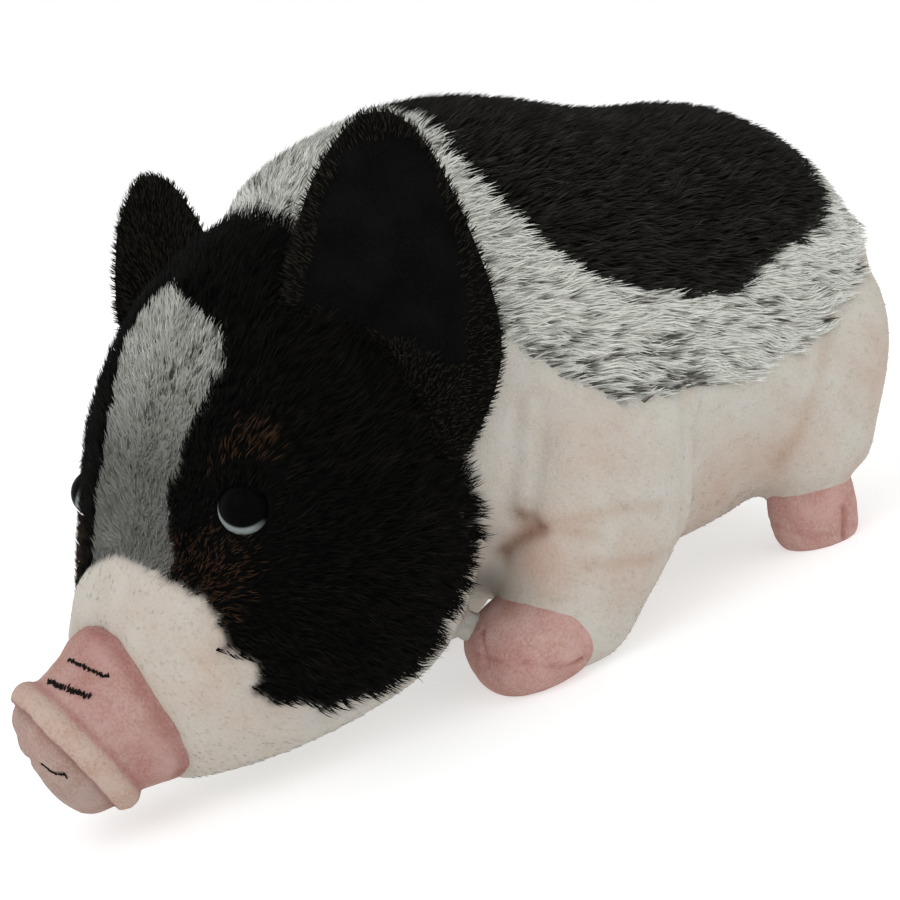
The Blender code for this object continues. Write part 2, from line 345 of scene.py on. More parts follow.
def on_head(points):
    """How far, in millimetres, each point lies in front of the collar where the black head ends.

    Points on a leg or the chest beside the cheek count as behind it."""
    local = to_local(points, HEAD_FRAME)
    ahead = np.interp(local[:, 2], COLLAR_Z, COLLAR_Y) - local[:, 1]
    beside = (ahead > -1) & (points[:, 1] > CHEEK_BACK_Y) & (points[:, 2] < CHEEK_TOP_Z)
    spots = points[beside]
    nearer = gaps(spots, "neck", "torso", "leg_front_left", "leg_front_right")
    nearer -= gaps(spots, "head", "muzzle")
    margin = np.where(spots[:, 2] < JAW_TOP_Z, -1, 1)
    ahead[beside] = np.minimum(ahead[beside], nearer / MM + margin)
    return ahead


def kinds_of(points):
    """Which kind of plush grows at each point."""
    local = to_local(points, HEAD_FRAME)
    rough = wobble(points, 0.012) * 2.2 + wobble(points + 0.4, 0.003) * 1.3
    x, y, z = local.T

    jaw = np.degrees(np.arctan2(z - JAW_MIDDLE_Z, -(y - JAW_MIDDLE_Y)))
    jaw_width = np.interp(jaw, JAW_ANGLE, JAW_HALF_WIDTH)
    white_jaw = (jaw < JAW_ANGLE[-1]) & (np.abs(x - MUZZLE_MIDDLE_X) + rough < jaw_width)
    left = np.interp(z, BLAZE_Z, BLAZE_LEFT)
    right = np.interp(z, BLAZE_Z, BLAZE_RIGHT)
    blaze = (x + rough < left) & (x - rough > right) & (z < BLAZE_Z[-1]) & (y < FACE_Y)
    head_kind = np.where(blaze, FROST, BLACK)
    head_kind = np.where(white_jaw, CREAM, head_kind)

    along = points[:, 1] / MM
    angle = trunk_angle(points) + rough * 1.2
    saddle = angle > np.interp(along, SADDLE_Y, SADDLE_LOW)
    saddle &= (along + rough > SADDLE_FRONT_Y) & (along + rough < SADDLE_Y[-1])
    frost = (angle > np.interp(along, FROST_Y, FROST_LOW)) & (points[:, 2] > FROST_MIN_Z)
    body_kind = np.where(saddle, BLACK, np.where(frost, FROST, CREAM))
    return np.where(on_head(points) + rough > 0, head_kind, body_kind)


# Pile

# A tuft starts this deep in the skin. Its middle has this share of its width, and this share of
# its tip's colour. Its normals are the skin's, leant this far along it.
ROOT_DEPTH = 0.0004
MIDDLE_WIDTH = 0.75
MIDDLE_TIP = 0.55
NORMAL_LEAN = 0.25
# A tuft has 9 triangles, so a piece of this many stays under 200,000
TUFTS_PER_PIECE = 21500
NOISE_SEED = 1
# A tuft's size on the unwrap, and where the legs stand across and along, in millimetres
UNWRAP_SIZE = 0.003
LEG_PLACES = ((40, 12), (-40, 12), (38, 97), (-38, 97))
LEG_RADIUS = 25
LEG_TOP = 42


def scatter(mesh, triangles, spacing, rng):
    """Random roots on triangles of a mesh, about that far apart, with the normals there."""
    points, normals = points_of(mesh), normals_of(mesh)
    spacing /= math.sqrt(share())
    corners = points[triangles]
    cross = np.cross(corners[:, 1] - corners[:, 0], corners[:, 2] - corners[:, 0])
    area = np.linalg.norm(cross, axis=1) / 2
    count = int(area.sum() / spacing**2)
    chosen = rng.choice(len(triangles), size=count, p=area / area.sum())
    a, b = rng.random(count), rng.random(count)
    over = a + b > 1
    a[over], b[over] = 1 - a[over], 1 - b[over]
    weights = np.stack([1 - a - b, a, b], axis=1)[:, :, None]
    picked = triangles[chosen]
    roots = (points[picked] * weights).sum(1)
    ways = unit((normals[picked] * weights).sum(1))
    return roots, ways


def unit(vectors):
    return vectors / np.maximum(np.linalg.norm(vectors, axis=1, keepdims=True), 1e-9)


def along_surface(flow, normals):
    """A direction of flow, laid down onto the surface."""
    return unit(flow - (flow * normals).sum(1, keepdims=True) * normals)


def ruffle(points, scale, seed):
    """Smooth random vectors that make neighbouring tufts lean together."""
    # Without a seed, noise vectors are shifted by the time at which Blender started
    noise.seed_set(NOISE_SEED)
    shift = np.array([seed * 0.37, seed * 0.11, seed * 0.23])
    return np.array([noise.noise_vector(Vector(p / scale + shift)) for p in points])


def rolled_out(across, along, rise, corner, size):
    """Places in a rectangle of the unwrap, from the turn round an axis and the rise along it."""
    turn = (np.arctan2(across, along) / math.tau) % 1
    return np.stack([corner[0] + size[0] * turn, corner[1] + size[1] * np.clip(rise, 0, 1)], 1)


def unwrap(points):
    """A place for each point on an unwrap of the skin: trunk, head and each leg are rolled out."""
    local = to_local(points, HEAD_FRAME)
    head = (on_head(points) > 0)[:, None]
    x, y, z = (points / MM - np.array(ORIGIN) / MM).T
    place = rolled_out(x, z - TRUNK_AXIS_Z, (y + 55) / 205, (0.02, 0.02), (0.50, 0.96))
    rise = (local[:, 1] + 130) / 115
    on_sheet = rolled_out(local[:, 0], local[:, 2] - 60, rise, (0.55, 0.42), (0.43, 0.56))
    place = np.where(head, on_sheet, place)
    for i, (leg_x, leg_y) in enumerate(LEG_PLACES):
        near = (np.hypot(x - leg_x, (y - leg_y) * 0.7) < LEG_RADIUS) & (z < 40)
        corner = (0.56 + 0.105 * i, 0.02)
        leg = rolled_out(x - leg_x, y - leg_y, z / LEG_TOP, corner, (0.105 * 0.9, 0.36))
        place = np.where(near[:, None] & ~head, leg, place)
    return place


def tuft_mesh(name, roots, normals, lie, length, width, low, high, bases, tips):
    """Solid three-sided tufts: each leaves its root at one lift, bends over, and ends in a tip.

    low and high are the height over length of each half, bases and tips the colours at each end."""
    count = len(roots)
    side = np.cross(normals, lie)
    lifts = (low[:, None], high[:, None])
    ways = [unit(lie * np.sqrt(1 - lift**2) + normals * lift) for lift in lifts]
    start = roots - normals * np.minimum(ROOT_DEPTH, 0.9 * width)[:, None]
    middle = start + ways[0] * length[:, None] * 0.5
    tip = middle + ways[1] * length[:, None] * 0.5
    verts = np.empty((count, 7, 3))
    levels = ((start, ways[0], 1.0), (middle, ways[1], MIDDLE_WIDTH))
    for level, (centre, way, size) in enumerate(levels):
        over = np.cross(way, side)
        for k in range(3):
            turn = math.tau * k / 3 - math.pi / 2
            out = side * math.cos(turn) + over * math.sin(turn)
            verts[:, level * 3 + k] = centre + out * (width[:, None] * size / 2)
    verts[:, 6] = tip
    faces = []
    for k in range(3):
        after = (k + 1) % 3
        faces += [(k, after, 3 + after), (k, 3 + after, 3 + k), (3 + k, 3 + after, 6)]
    faces = np.array(faces)
    every = (faces[None] + 7 * np.arange(count)[:, None, None]).reshape(-1)
    mesh = bpy.data.meshes.new(name)
    mesh.vertices.add(count * 7)
    mesh.vertices.foreach_set("co", verts.astype(np.float32).ravel())
    mesh.loops.add(len(every))
    mesh.loops.foreach_set("vertex_index", every.astype(np.int32))
    mesh.polygons.add(len(every) // 3)
    mesh.polygons.foreach_set("loop_start", np.arange(0, len(every), 3, dtype=np.int32))
    mesh.update(calc_edges=True)
    mesh.shade_smooth()
    leant = unit(normals + NORMAL_LEAN * lie)
    mesh.normals_split_custom_set_from_vertices(np.repeat(leant, 7, axis=0))

    parts = np.array([0] * 3 + [MIDDLE_TIP] * 3 + [1])[:, None]
    set_colours(mesh, "pile_colour", blend(bases[:, None], tips[:, None], parts).reshape(-1, 3))

    patch = np.array([(0, 0), (0.5, 0), (1, 0), (0, 0.6), (0.5, 0.6), (1, 0.6), (0.5, 1)]) - 0.5
    place = unwrap(roots)[:, None] + patch[None] * UNWRAP_SIZE
    layer = mesh.uv_layers.new(name="OFBake")
    layer.data.foreach_set("uv", place.reshape(-1, 2)[every].astype(np.float32).ravel())
    return mesh


def add_pile(name, pile, slot, roots, *arrays):
    """Makes tufts as pieces of fewer than 200,000 triangles each, from the front to the back."""
    order = np.argsort(roots[:, 1], kind="stable")
    count = max(1, math.ceil(len(order) / TUFTS_PER_PIECE))
    for part, chosen in enumerate(np.array_split(order, count)):
        title = f"{name} {part + 1}"
        mesh = tuft_mesh(title, roots[chosen], *(array[chosen] for array in arrays))
        dress(link(title, mesh), pile, slot)


# Materials


def put(node, **inputs):
    """Sets a shader node's inputs, where an underscore stands for the space in a name."""
    for name, value in inputs.items():
        node.inputs[name.replace("_", " ")].default_value = value


def fuzz_group():
    """A node group of fine fibres: a mottled tint of the colour, and a height for bump."""
    name = "Fibres"
    if name in bpy.data.node_groups:
        return bpy.data.node_groups[name]
    group = bpy.data.node_groups.new(name, "ShaderNodeTree")
    sockets = (
        ("Colour", "INPUT", "NodeSocketColor"),
        ("Tint", "INPUT", "NodeSocketColor"),
        ("Scale", "INPUT", "NodeSocketFloat"),
        ("Depth", "INPUT", "NodeSocketFloat"),
        ("Colour", "OUTPUT", "NodeSocketColor"),
        ("Normal", "OUTPUT", "NodeSocketVector"),
    )
    for title, way, kind in sockets:
        group.interface.new_socket(title, in_out=way, socket_type=kind)
    nodes, links = group.nodes, group.links
    into, out = nodes.new("NodeGroupInput"), nodes.new("NodeGroupOutput")
    place = nodes.new("ShaderNodeTexCoord")
    fine, soft = nodes.new("ShaderNodeTexNoise"), nodes.new("ShaderNodeTexNoise")
    put(fine, Detail=3.0)
    put(soft, Scale=130.0, Detail=4.0)
    both = nodes.new("ShaderNodeMath")
    both.operation = "MULTIPLY"
    ramp = nodes.new("ShaderNodeMapRange")
    put(ramp, From_Min=0.18, From_Max=0.36)
    mix = nodes.new("ShaderNodeMix")
    mix.data_type = "RGBA"
    mix.blend_type = "MULTIPLY"
    bump = nodes.new("ShaderNodeBump")
    put(bump, Distance=0.0006)
    for source, output, target, socket in (
        (place, "Object", fine, "Vector"),
        (place, "Object", soft, "Vector"),
        (into, "Scale", fine, "Scale"),
        (fine, "Fac", both, 0),
        (soft, "Fac", both, 1),
        (both, 0, ramp, "Value"),
        (ramp, "Result", mix, "Factor"),
        (into, "Colour", mix, "A"),
        (into, "Tint", mix, "B"),
        (mix, "Result", out, "Colour"),
        (into, "Depth", bump, "Strength"),
        (fine, "Fac", bump, "Height"),
        (bump, "Normal", out, "Normal"),
    ):
        links.new(source.outputs[output], target.inputs[socket])
    return group


def material(name, roughness, specular=0.04):
    """A plain material and its shader."""
    made = bpy.data.materials.new(name)
    made.use_nodes = True
    shader = made.node_tree.nodes["Principled BSDF"]
    put(shader, Roughness=roughness, Specular_IOR_Level=specular)
    return made, shader


def painted(name, attribute, roughness, specular=0.04):
    """A material whose colour is an attribute of the mesh."""
    made, shader = material(name, roughness, specular)
    nodes, links = made.node_tree.nodes, made.node_tree.links
    colour = nodes.new("ShaderNodeAttribute")
    colour.attribute_name = attribute
    links.new(colour.outputs["Color"], shader.inputs["Base Color"])
    return made


def fuzzy(name, attribute, tint, scale, depth, roughness, specular=0.04):
    """A painted material with fibres over it."""
    made = painted(name, attribute, roughness, specular)
    nodes, links = made.node_tree.nodes, made.node_tree.links
    shader = nodes["Principled BSDF"]
    colour = shader.inputs["Base Color"].links[0].from_socket
    fibres = nodes.new("ShaderNodeGroup")
    fibres.node_tree = fuzz_group()
    put(fibres, Tint=(*tint, 1), Scale=scale, Depth=depth)
    links.new(colour, fibres.inputs["Colour"])
    links.new(fibres.outputs["Colour"], shader.inputs["Base Color"])
    links.new(fibres.outputs["Normal"], shader.inputs["Normal"])
    return made


def dress(obj, made, slot, *nodes, padding=None):
    """Gives a piece its material and body, and hides the CAD nodes that it stands for. The slot is
    not used.
    """
    obj.data.materials.clear()
    obj.data.materials.append(made)
    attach(obj, "root")
    if nodes:
        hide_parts(*nodes)
    return obj


# The cloth skin and its pile

# Seams, folds and creases of the left side, in millimetres of the frame
SEAMS = (
    ((53, 45, 66), (53, 44, 58), (53, 40, 47), (54, 36, 38), (51.5, 33, 29), (46, 30, 22)),
    ((54.4, -5.4, 76), (52.3, -8.5, 65.4), (49.6, -11.9, 55.3), (47.5, -13.5, 48)),
)
FOLDS = (
    ((38, -17, 37), (41.3, -15.3, 39), (44.9, -14, 40.8), (49.2, -12.9, 42.4), (51, -11.3, 42.8)),
    ((47, -14, 47), (49.4, -13, 45), (51, -11.3, 42.8)),
)
CREASES = (
    ((51, -11.3, 42.8), (54.5, -8.4, 42.1), (56.6, -4.5, 39.4), (58, 1.1, 36.2)),
    ((51, -11.3, 42.8), (55.7, -6.2, 43.4), (58.3, 2.8, 41.8), (59, 11.6, 40.8), (57.9, 21.3, 37)),
    ((56.4, -5.4, 30.3), (57.4, 2.6, 27.7), (56.9, 12.1, 24.8), (55.6, 19.8, 23.3)),
    ((49, 101.8, 76), (54.1, 92.3, 59.4), (53.9, 86.4, 49.2), (50.3, 79, 38.1), (43, 72.7, 29.3)),
)
# Recesses where the white plush gets painted shade, as a place, a radius and a strength
RECESS_SHADES = (
    ((57, 2, 58), 20, 0.5),
    ((52, -12, 36), 16, 1.0),
    ((57, 8, 24), 17, 0.5),
    ((40, 60, 24), 24, 0.8),
    ((46, 76, 34), 16, 0.6),
    ((30, 30, 12), 30, 0.7),
    ((30, -106, 44), 34, 0.55),
    ((38, 98, 24), 16, 0.6),
    ((47, 110, 46), 20, 0.55),
    ((30, 142, 70), 22, 0.5),
)
CREAM_COLOUR = np.array((0.49, 0.478, 0.435))
# The pinkish painted shade of the recesses
RECESS_SHADE_COLOUR = np.array((0.46, 0.335, 0.275))
# The painted shade of the creases, and the darker painted shade of the deep folds
CREASE_SHADE_COLOUR = np.array((0.33, 0.19, 0.105))
FOLD_SHADE_COLOUR = np.array((0.19, 0.09, 0.05))
TAN_COLOUR = np.array((0.043, 0.023, 0.013))
BLACK_CLOTH = (0.0022, 0.002, 0.0018)
BLACK_ROOT = np.array((0.0018, 0.0017, 0.0015))
BLACK_TIP = np.array((0.0072, 0.0068, 0.0058))
FROST_CLOTH = np.array((0.50, 0.50, 0.46))
FROST_DARK = np.array((0.060, 0.055, 0.042))
FROST_LIGHT = np.array((0.76, 0.77, 0.71))

# The size of the skin's first cells, and how deep it then lies under the CAD's surface: under the
# nap, under the long pile and where the snout goes
SKIN_CELL = 0.0017
NAP_DEPTH = 0.0011
PILE_DEPTH = 0.0036
SNOUT_DEPTH = 0.0060
SNOUT_BACK_Y = -0.105

# How far apart the tufts stand, the share of them that is made on the white, and how far they stay
# from the floor, the other pieces and the eyes
COAT_SPACING = 0.00085
NAP_SHARE = 0.14
FLOOR_GAP = 0.0012
PIECE_GAP = 0.0006
EYE_GAP = 0.0004
LONG_SHARE = 0.88
LONG_WIDTH = 0.00038
NAP_WIDTH = 0.00024
# The lifts of the lower and the upper half of the black, the frosted and the white tufts
LOWER_LIFT = np.array((0.80, 0.66, 0.25))
UPPER_LIFT = np.array((0.46, 0.34, 0.09))
# The size of the dark streaks in the frosted plush: across, along and up, in millimetres
STREAK_SIZE = np.array((1.7, 4.6, 1.9))

EYE_RADIUS = 6.8 * MM
EYE_SINK = 4.6 * MM
EYE_PLACE = Vector((42.6, -97.3, 80.5)) * MM
EYE_FACING = Vector((0.62, -0.71, 0.32)).normalized()
EYE_COLOUR = np.array((0.0012, 0.0012, 0.0014))
EYE_CRESCENT = np.array((0.20, 0.225, 0.22))
# The fur within this reach of the eye, and this far above its middle, flows over it
LID_RADIUS = 12
LID_RISE = 2.5
# Orange-brown fibres near the eye, in millimetres of the straight head, each with a radius
TAN_SPOTS = (
    ((43, -92, 94), 8),
    ((38, -97, 90), 6),
    ((38, -105, 68), 9),
    ((34, -108, 62), 8),
    ((29, -112, 70), 8),
)


def mirrored(lines):
    """Lines of the left side, moved to the right."""
    middle = 2 * ORIGIN.x / MM
    return [[(middle - x, y, z) for x, y, z in line] for line in lines]


def near_both(points, lines):
    """The distance in millimetres to lines of the left side or their like on the right."""
    return near_lines(points, [*lines, *mirrored(lines)])


def cream_colours(points):
    """The short white plush, with painted shade in its recesses, along its seams and in its creases
    and folds.
    """
    # The tint is painted shade, strongest in the recesses
    tint = np.zeros(len(points))
    for (x, y, z), radius, strength in RECESS_SHADES:
        for spot_x in (x, 2 * ORIGIN.x / MM - x):
            gap = np.linalg.norm(points / MM - np.array((spot_x, y, z)), axis=1)
            tint = np.maximum(tint, strength * bell(gap, radius))
    patchy = 0.85 + 0.5 * wobble(points, 0.014)
    # Painted shade along the seams, in the creases and, darkest, in the folds
    seam = bell(near_both(points, SEAMS), 2.0) * 0.25
    tint = np.clip(np.maximum(tint * patchy, seam), 0, 1)[:, None]
    crease = bell(near_both(points, CREASES), 1.6)[:, None] * 0.3
    fold = bell(near_both(points, FOLDS), 2.3)[:, None] * 0.9
    colour = blend(CREAM_COLOUR, RECESS_SHADE_COLOUR, tint)
    return blend(blend(colour, CREASE_SHADE_COLOUR, crease), FOLD_SHADE_COLOUR, fold)


def eye_matrix(side):
    """Where an eye sits: its z looks outward and its y upward."""
    facing = EYE_FACING
    across = Vector((0, 0, 1)).cross(facing).normalized()
    place = Matrix((across, facing.cross(across), facing)).transposed().to_4x4()
    place.translation = EYE_PLACE - facing * EYE_SINK
    return HEAD_FRAME @ Matrix.Diagonal((side, 1, 1, 1)) @ place


def make_skin():
    """One cloth skin inside the plush nodes, by the depth of the pile."""
    filled = (*FLESH, "snout", "eye_left", "eye_right", *HOOVES)
    mesh = remeshed("Cloth skin", filled, SKIN_CELL, 24, 0.0006)
    points, normals, edges = points_of(mesh), normals_of(mesh), edges_of(mesh)
    kinds = kinds_of(points)
    depth = np.where(kinds == CREAM, NAP_DEPTH, PILE_DEPTH)
    front = points[:, 1] < SNOUT_BACK_Y
    in_snout = gaps(points[front], "snout", "snout_pad") < gaps(points[front], "muzzle")
    depth[front] = np.where(in_snout, SNOUT_DEPTH, depth[front])
    depth = spread(depth, edges, 8)
    points -= normals * depth[:, None]
    from_seam = near_both(points, SEAMS)
    seam = bell(from_seam, 1.6)
    beside = np.exp(-((from_seam - 3.6) ** 2) / 3.0)
    fold = bell(near_both(points, FOLDS), 2.2)
    crease = bell(near_both(points, CREASES), 1.8)
    push = 0.0006 * seam - 0.0008 * beside - 0.0020 * fold - 0.0007 * crease
    points += normals * push[:, None]
    set_points(mesh, points)

    colours = cream_colours(points)
    kinds = kinds_of(points)
    colours[kinds == BLACK] = BLACK_CLOTH
    frost = kinds == FROST
    colours[frost] = FROST_CLOTH * frost_shade(points[frost])
    set_colours(mesh, "cloth_colour", spread(colours, edges, 1))
    mesh.shade_smooth()
    skin = link("Cloth skin", mesh)
    cloth = fuzzy("White plush", "cloth_colour", (0.94, 0.90, 0.86), 1300, 0.5, 0.9, specular=0.05)
    return dress(skin, cloth, "white_plush", *FLESH, padding=0.8)


def inside_of(points, mesh, reach):
    """Which points lie inside a closed mesh, or within reach of it."""
    tree = tree_of(mesh)
    shell = points_of(mesh)
    low, high = shell.min(0) - 4 * MM, shell.max(0) + 4 * MM
    result = np.zeros(len(points), bool)
    for i in np.flatnonzero(((points > low) & (points < high)).all(1)):
        spot = Vector(points[i])
        nearest, normal, _, gap = tree.find_nearest(spot)
        result[i] = gap < reach or (spot - nearest).dot(normal) < 0
    return result


def frost_shade(points):
    """The blaze of the head is darker than the frost of the body, and darkest near the muzzle."""
    shade = np.interp(to_local(points, HEAD_FRAME)[:, 2], (60, 90, 122), (0.21, 0.25, 0.70))
    return np.where(on_head(points) > 0, shade, 1)[:, None]


def frost_colours(points, more, rng):
    """Tips of frosted plush: grey-white, with dark streaks along the pile, and more of them."""
    grain = points / MM / STREAK_SIZE
    streak = np.array([noise.fractal(Vector(p), 0.8, 2.1, 3) for p in grain])
    above = trunk_angle(points) - np.interp(points[:, 1] / MM, FROST_Y, FROST_LOW)
    dense = bell(above, 9) * (points[:, 1] < 0.048)
    dark = np.clip((streak + 0.42 * dense - 0.26 + more) / 0.28, 0, 1)
    dark = np.clip(dark + rng.normal(0, 0.12, len(points)), 0, 1)[:, None]
    light = FROST_LIGHT * frost_shade(points) * rng.uniform(0.88, 1.08, (len(points), 1))
    return blend(light, FROST_DARK, dark)


def coat_roots(skin, covers, rng):
    """Where tufts stand on the skin, with their normals and kinds, and none under a cover."""
    roots, normals = scatter(skin.data, triangles_of(skin.data), COAT_SPACING, rng)
    kinds = kinds_of(roots)
    keep = (kinds != CREAM) | (rng.random(len(roots)) < NAP_SHARE)
    keep &= roots[:, 2] > FLOOR_GAP
    roots, normals, kinds = roots[keep], normals[keep], kinds[keep]
    hidden = np.zeros(len(roots), bool)
    for cover in covers:
        hidden |= inside_of(roots, cover.data, PIECE_GAP)
    for side in SIDES.values():
        eye = np.array(eye_matrix(side).translation)
        hidden |= np.linalg.norm(roots - eye, axis=1) < EYE_RADIUS + EYE_GAP
    return roots[~hidden], normals[~hidden], kinds[~hidden]


def coat_colours(roots, local, kinds, head, lid, rng):
    """The colours of each tuft's root and tip."""
    count = len(roots)
    bases, tips = np.empty((count, 3)), np.empty((count, 3))
    black, frost, cream = (kinds == kind for kind in (BLACK, FROST, CREAM))
    # The black tips vary in tone at random, and about one strand in twelve is painted much lighter as
    # a painted highlight
    tone_and_highlight = rng.uniform(0.55, 1.6, (count, 1)) * (1 + 0.5 * ruffle(roots, 0.006, 4)[:, :1])
    tone_and_highlight *= np.where(rng.random((count, 1)) < 0.08, 2.2, 1.0)
    sunlit = np.where(head, 0.65, 2.9)[:, None]
    tips[black] = (BLACK_TIP * tone_and_highlight * sunlit)[black]
    bases[black] = (BLACK_ROOT * (0.7 + 0.5 * sunlit))[black]
    tan = np.zeros(count)
    for (x, y, z), radius in TAN_SPOTS:
        for spot in ((x, y, z), (-x, y, z)):
            tan = np.maximum(tan, bell(np.linalg.norm(local - np.array(spot), axis=1), radius))
    tan = (tan * (0.5 + ruffle(roots, 0.0022, 5)[:, 0]) > 0.18) & black & ~lid
    tips[tan] = TAN_COLOUR * rng.uniform(0.5, 1.5, (count, 1))[tan]
    streaks = np.where(head, -0.14, 0.0)
    tips[frost] = frost_colours(roots[frost], streaks[frost], rng)
    bases[frost] = 0.02 + 0.92 * tips[frost]
    # The nap's tips are painted lighter than the cloth, as painted light that offsets their own shade
    tips[cream] = cream_colours(roots[cream]) * rng.uniform(1.06, 1.2, (count, 1))[cream]
    bases[cream] = tips[cream]
    return bases, tips


def make_coat(skin, covers):
    """The pile: long tufts on the black and frosted plush, a short nap on the white."""
    rng = np.random.default_rng(settings().seed)
    roots, normals, kinds = coat_roots(skin, covers, rng)
    count = len(roots)
    local = to_local(roots, HEAD_FRAME)
    head = on_head(roots) > 0
    flow = np.tile(np.array((0.0, 1.0, -0.32)), (count, 1))
    rise = np.interp(local[:, 2], (35, 62, 95), (-0.9, 0.0, 0.45))
    sideways = 0.3 * np.sign(local[:, 0] - MUZZLE_MIDDLE_X)
    flow[head] = np.stack([sideways, np.full(count, 0.9), rise], 1)[head]
    eye_spot = np.array(EYE_PLACE) / MM * np.where(local[:, :1] < 0, (-1, 1, 1), (1, 1, 1))
    beside = np.linalg.norm(local - eye_spot, axis=1)
    lid = (beside < LID_RADIUS) & (local[:, 2] > eye_spot[:, 2] + LID_RISE)
    flow[lid] = unit(eye_spot - local)[lid] * 1.6
    clumps = ruffle(roots, 0.010, 1) * 0.5 + ruffle(roots, 0.0028, 2) * 0.55
    lie = along_surface(flow + clumps + rng.normal(0, 0.12, (count, 3)), normals)
    stand = 0.09 * ruffle(roots, 0.004, 3)[:, 0] + rng.normal(0, 0.035, count)

    # The long pile is shorter towards the muzzle, on the blaze and round the eyes
    face = np.where(head, np.clip(1 - (-local[:, 1] - 75) / 90, 0.72, 1), 1)
    long_pile = kinds != CREAM
    length = np.where(long_pile, settings().pile * LONG_SHARE * face, settings().nap)
    length *= np.where(head & (kinds == FROST), 0.75, 1.0) * rng.uniform(0.75, 1.15, count)
    length *= 1 - np.where(lid, 0.1, 0.5) * bell(beside, 9.5)
    width = np.where(long_pile, LONG_WIDTH, NAP_WIDTH) * rng.uniform(0.7, 1.3, count)
    low = np.clip(LOWER_LIFT[kinds] + stand, 0.1, 0.97)
    high = np.clip(UPPER_LIFT[kinds] + 1.6 * stand, 0.02, 0.95)
    bases, tips = coat_colours(roots, local, kinds, head, lid, rng)

    pile = painted("Plush pile", "pile_colour", 0.8)
    arrays = (roots, normals, lie, length, width, low, high, bases, tips)
    for title, kind, slot in (
        ("Black pile", BLACK, "black_plush"),
        ("Frosted pile", FROST, "frosted_plush"),
        ("White nap", CREAM, "white_plush"),
    ):
        add_pile(title, pile, slot, *(array[kinds == kind] for array in arrays))


# Ears

# Sections of an ear from its root to its tip, in millimetres: height, sideways shift and half width
EAR_Z = (-44, -34, -22, -10, 2, 14, 26, 36, 43, 47)
EAR_X = (3, 2, 1, 1, 0, -1, -2, -2, -2, -2)
EAR_WIDTH = (14, 20, 26.5, 28.6, 27.2, 23.8, 19.2, 14.2, 8.8, 3.4)
EAR_FRONT = 3.6
EAR_BACK = 1.0
EAR_CUP = 7.0
EAR_HALF_WIDTH = 29.5
EAR_PLACE = Vector((50.4, -42.6, 116.0)) * MM
EAR_ACROSS = Vector((0.683, 0.690, -0.241))
EAR_ALONG = Vector((0.169, 0.171, 0.971))
# 2 makes the sections of ears and the snout round, and more makes them squarer
SQUARENESS = 2.1
FLOP_PIVOT = Vector((-42, -48, 100)) * MM
FLOP = (
    Matrix.Translation(FLOP_PIVOT)
    @ spin(-17, "Y")
    @ spin(-25, "Z")
    @ Matrix.Translation(-FLOP_PIVOT)
)
LINING_COLOUR = np.array((0.0032, 0.0029, 0.0029))
EAR_CLOTH = np.array((0.003, 0.0026, 0.0022))
EAR_ROOT = (0.0025, 0.0022, 0.0018)
EAR_TIP = np.array((0.0200, 0.0178, 0.0130))
EAR_SPACING = 0.00084


def ear_matrix(side):
    """Where an ear stands: its z runs to its tip and its cup opens to -y."""
    across = EAR_ACROSS.normalized()
    along = (EAR_ALONG - across * across.dot(EAR_ALONG)).normalized()
    place = Matrix((across, along.cross(across), along)).transposed().to_4x4()
    place.translation = EAR_PLACE
    place = Matrix.Diagonal((side, 1, 1, 1)) @ place
    return HEAD_FRAME @ (place if side > 0 else FLOP @ place)


def ring(bm, centre, turn, half_width, up, down, count):
    """One closed outline of a soft form, and its edges. Lengths are in millimetres."""
    verts = []
    for i in range(count):
        angle = math.tau * i / count
        cos, sin = math.cos(angle), math.sin(angle)
        across = math.copysign(abs(cos) ** (2 / SQUARENESS), cos)
        upward = math.copysign(abs(sin) ** (2 / SQUARENESS), sin)
        flat = Vector((half_width * across, 0, (up if upward > 0 else down) * upward))
        verts.append(bm.verts.new((Vector(centre) + turn @ flat) * MM))
    return [bm.edges.new((verts[i], verts[(i + 1) % count])) for i in range(count)]


def lofted(name, rings, count):
    """A closed soft form through rings, rounded by subdivision."""
    bm = bmesh.new()
    loops = [ring(bm, *row, count) for row in rings]
    for near, far in zip(loops, loops[1:]):
        bmesh.ops.bridge_loops(bm, edges=near + far)
    for loop in (loops[0], loops[-1]):
        bmesh.ops.contextual_create(bm, geom=loop)
    bmesh.ops.recalc_face_normals(bm, faces=bm.faces)
    obj = link(name, mesh_from(bm, name))
    rounding = obj.modifiers.new("Rounding", "SUBSURF")
    rounding.levels = rounding.render_levels = 2
    return finished(obj, name)


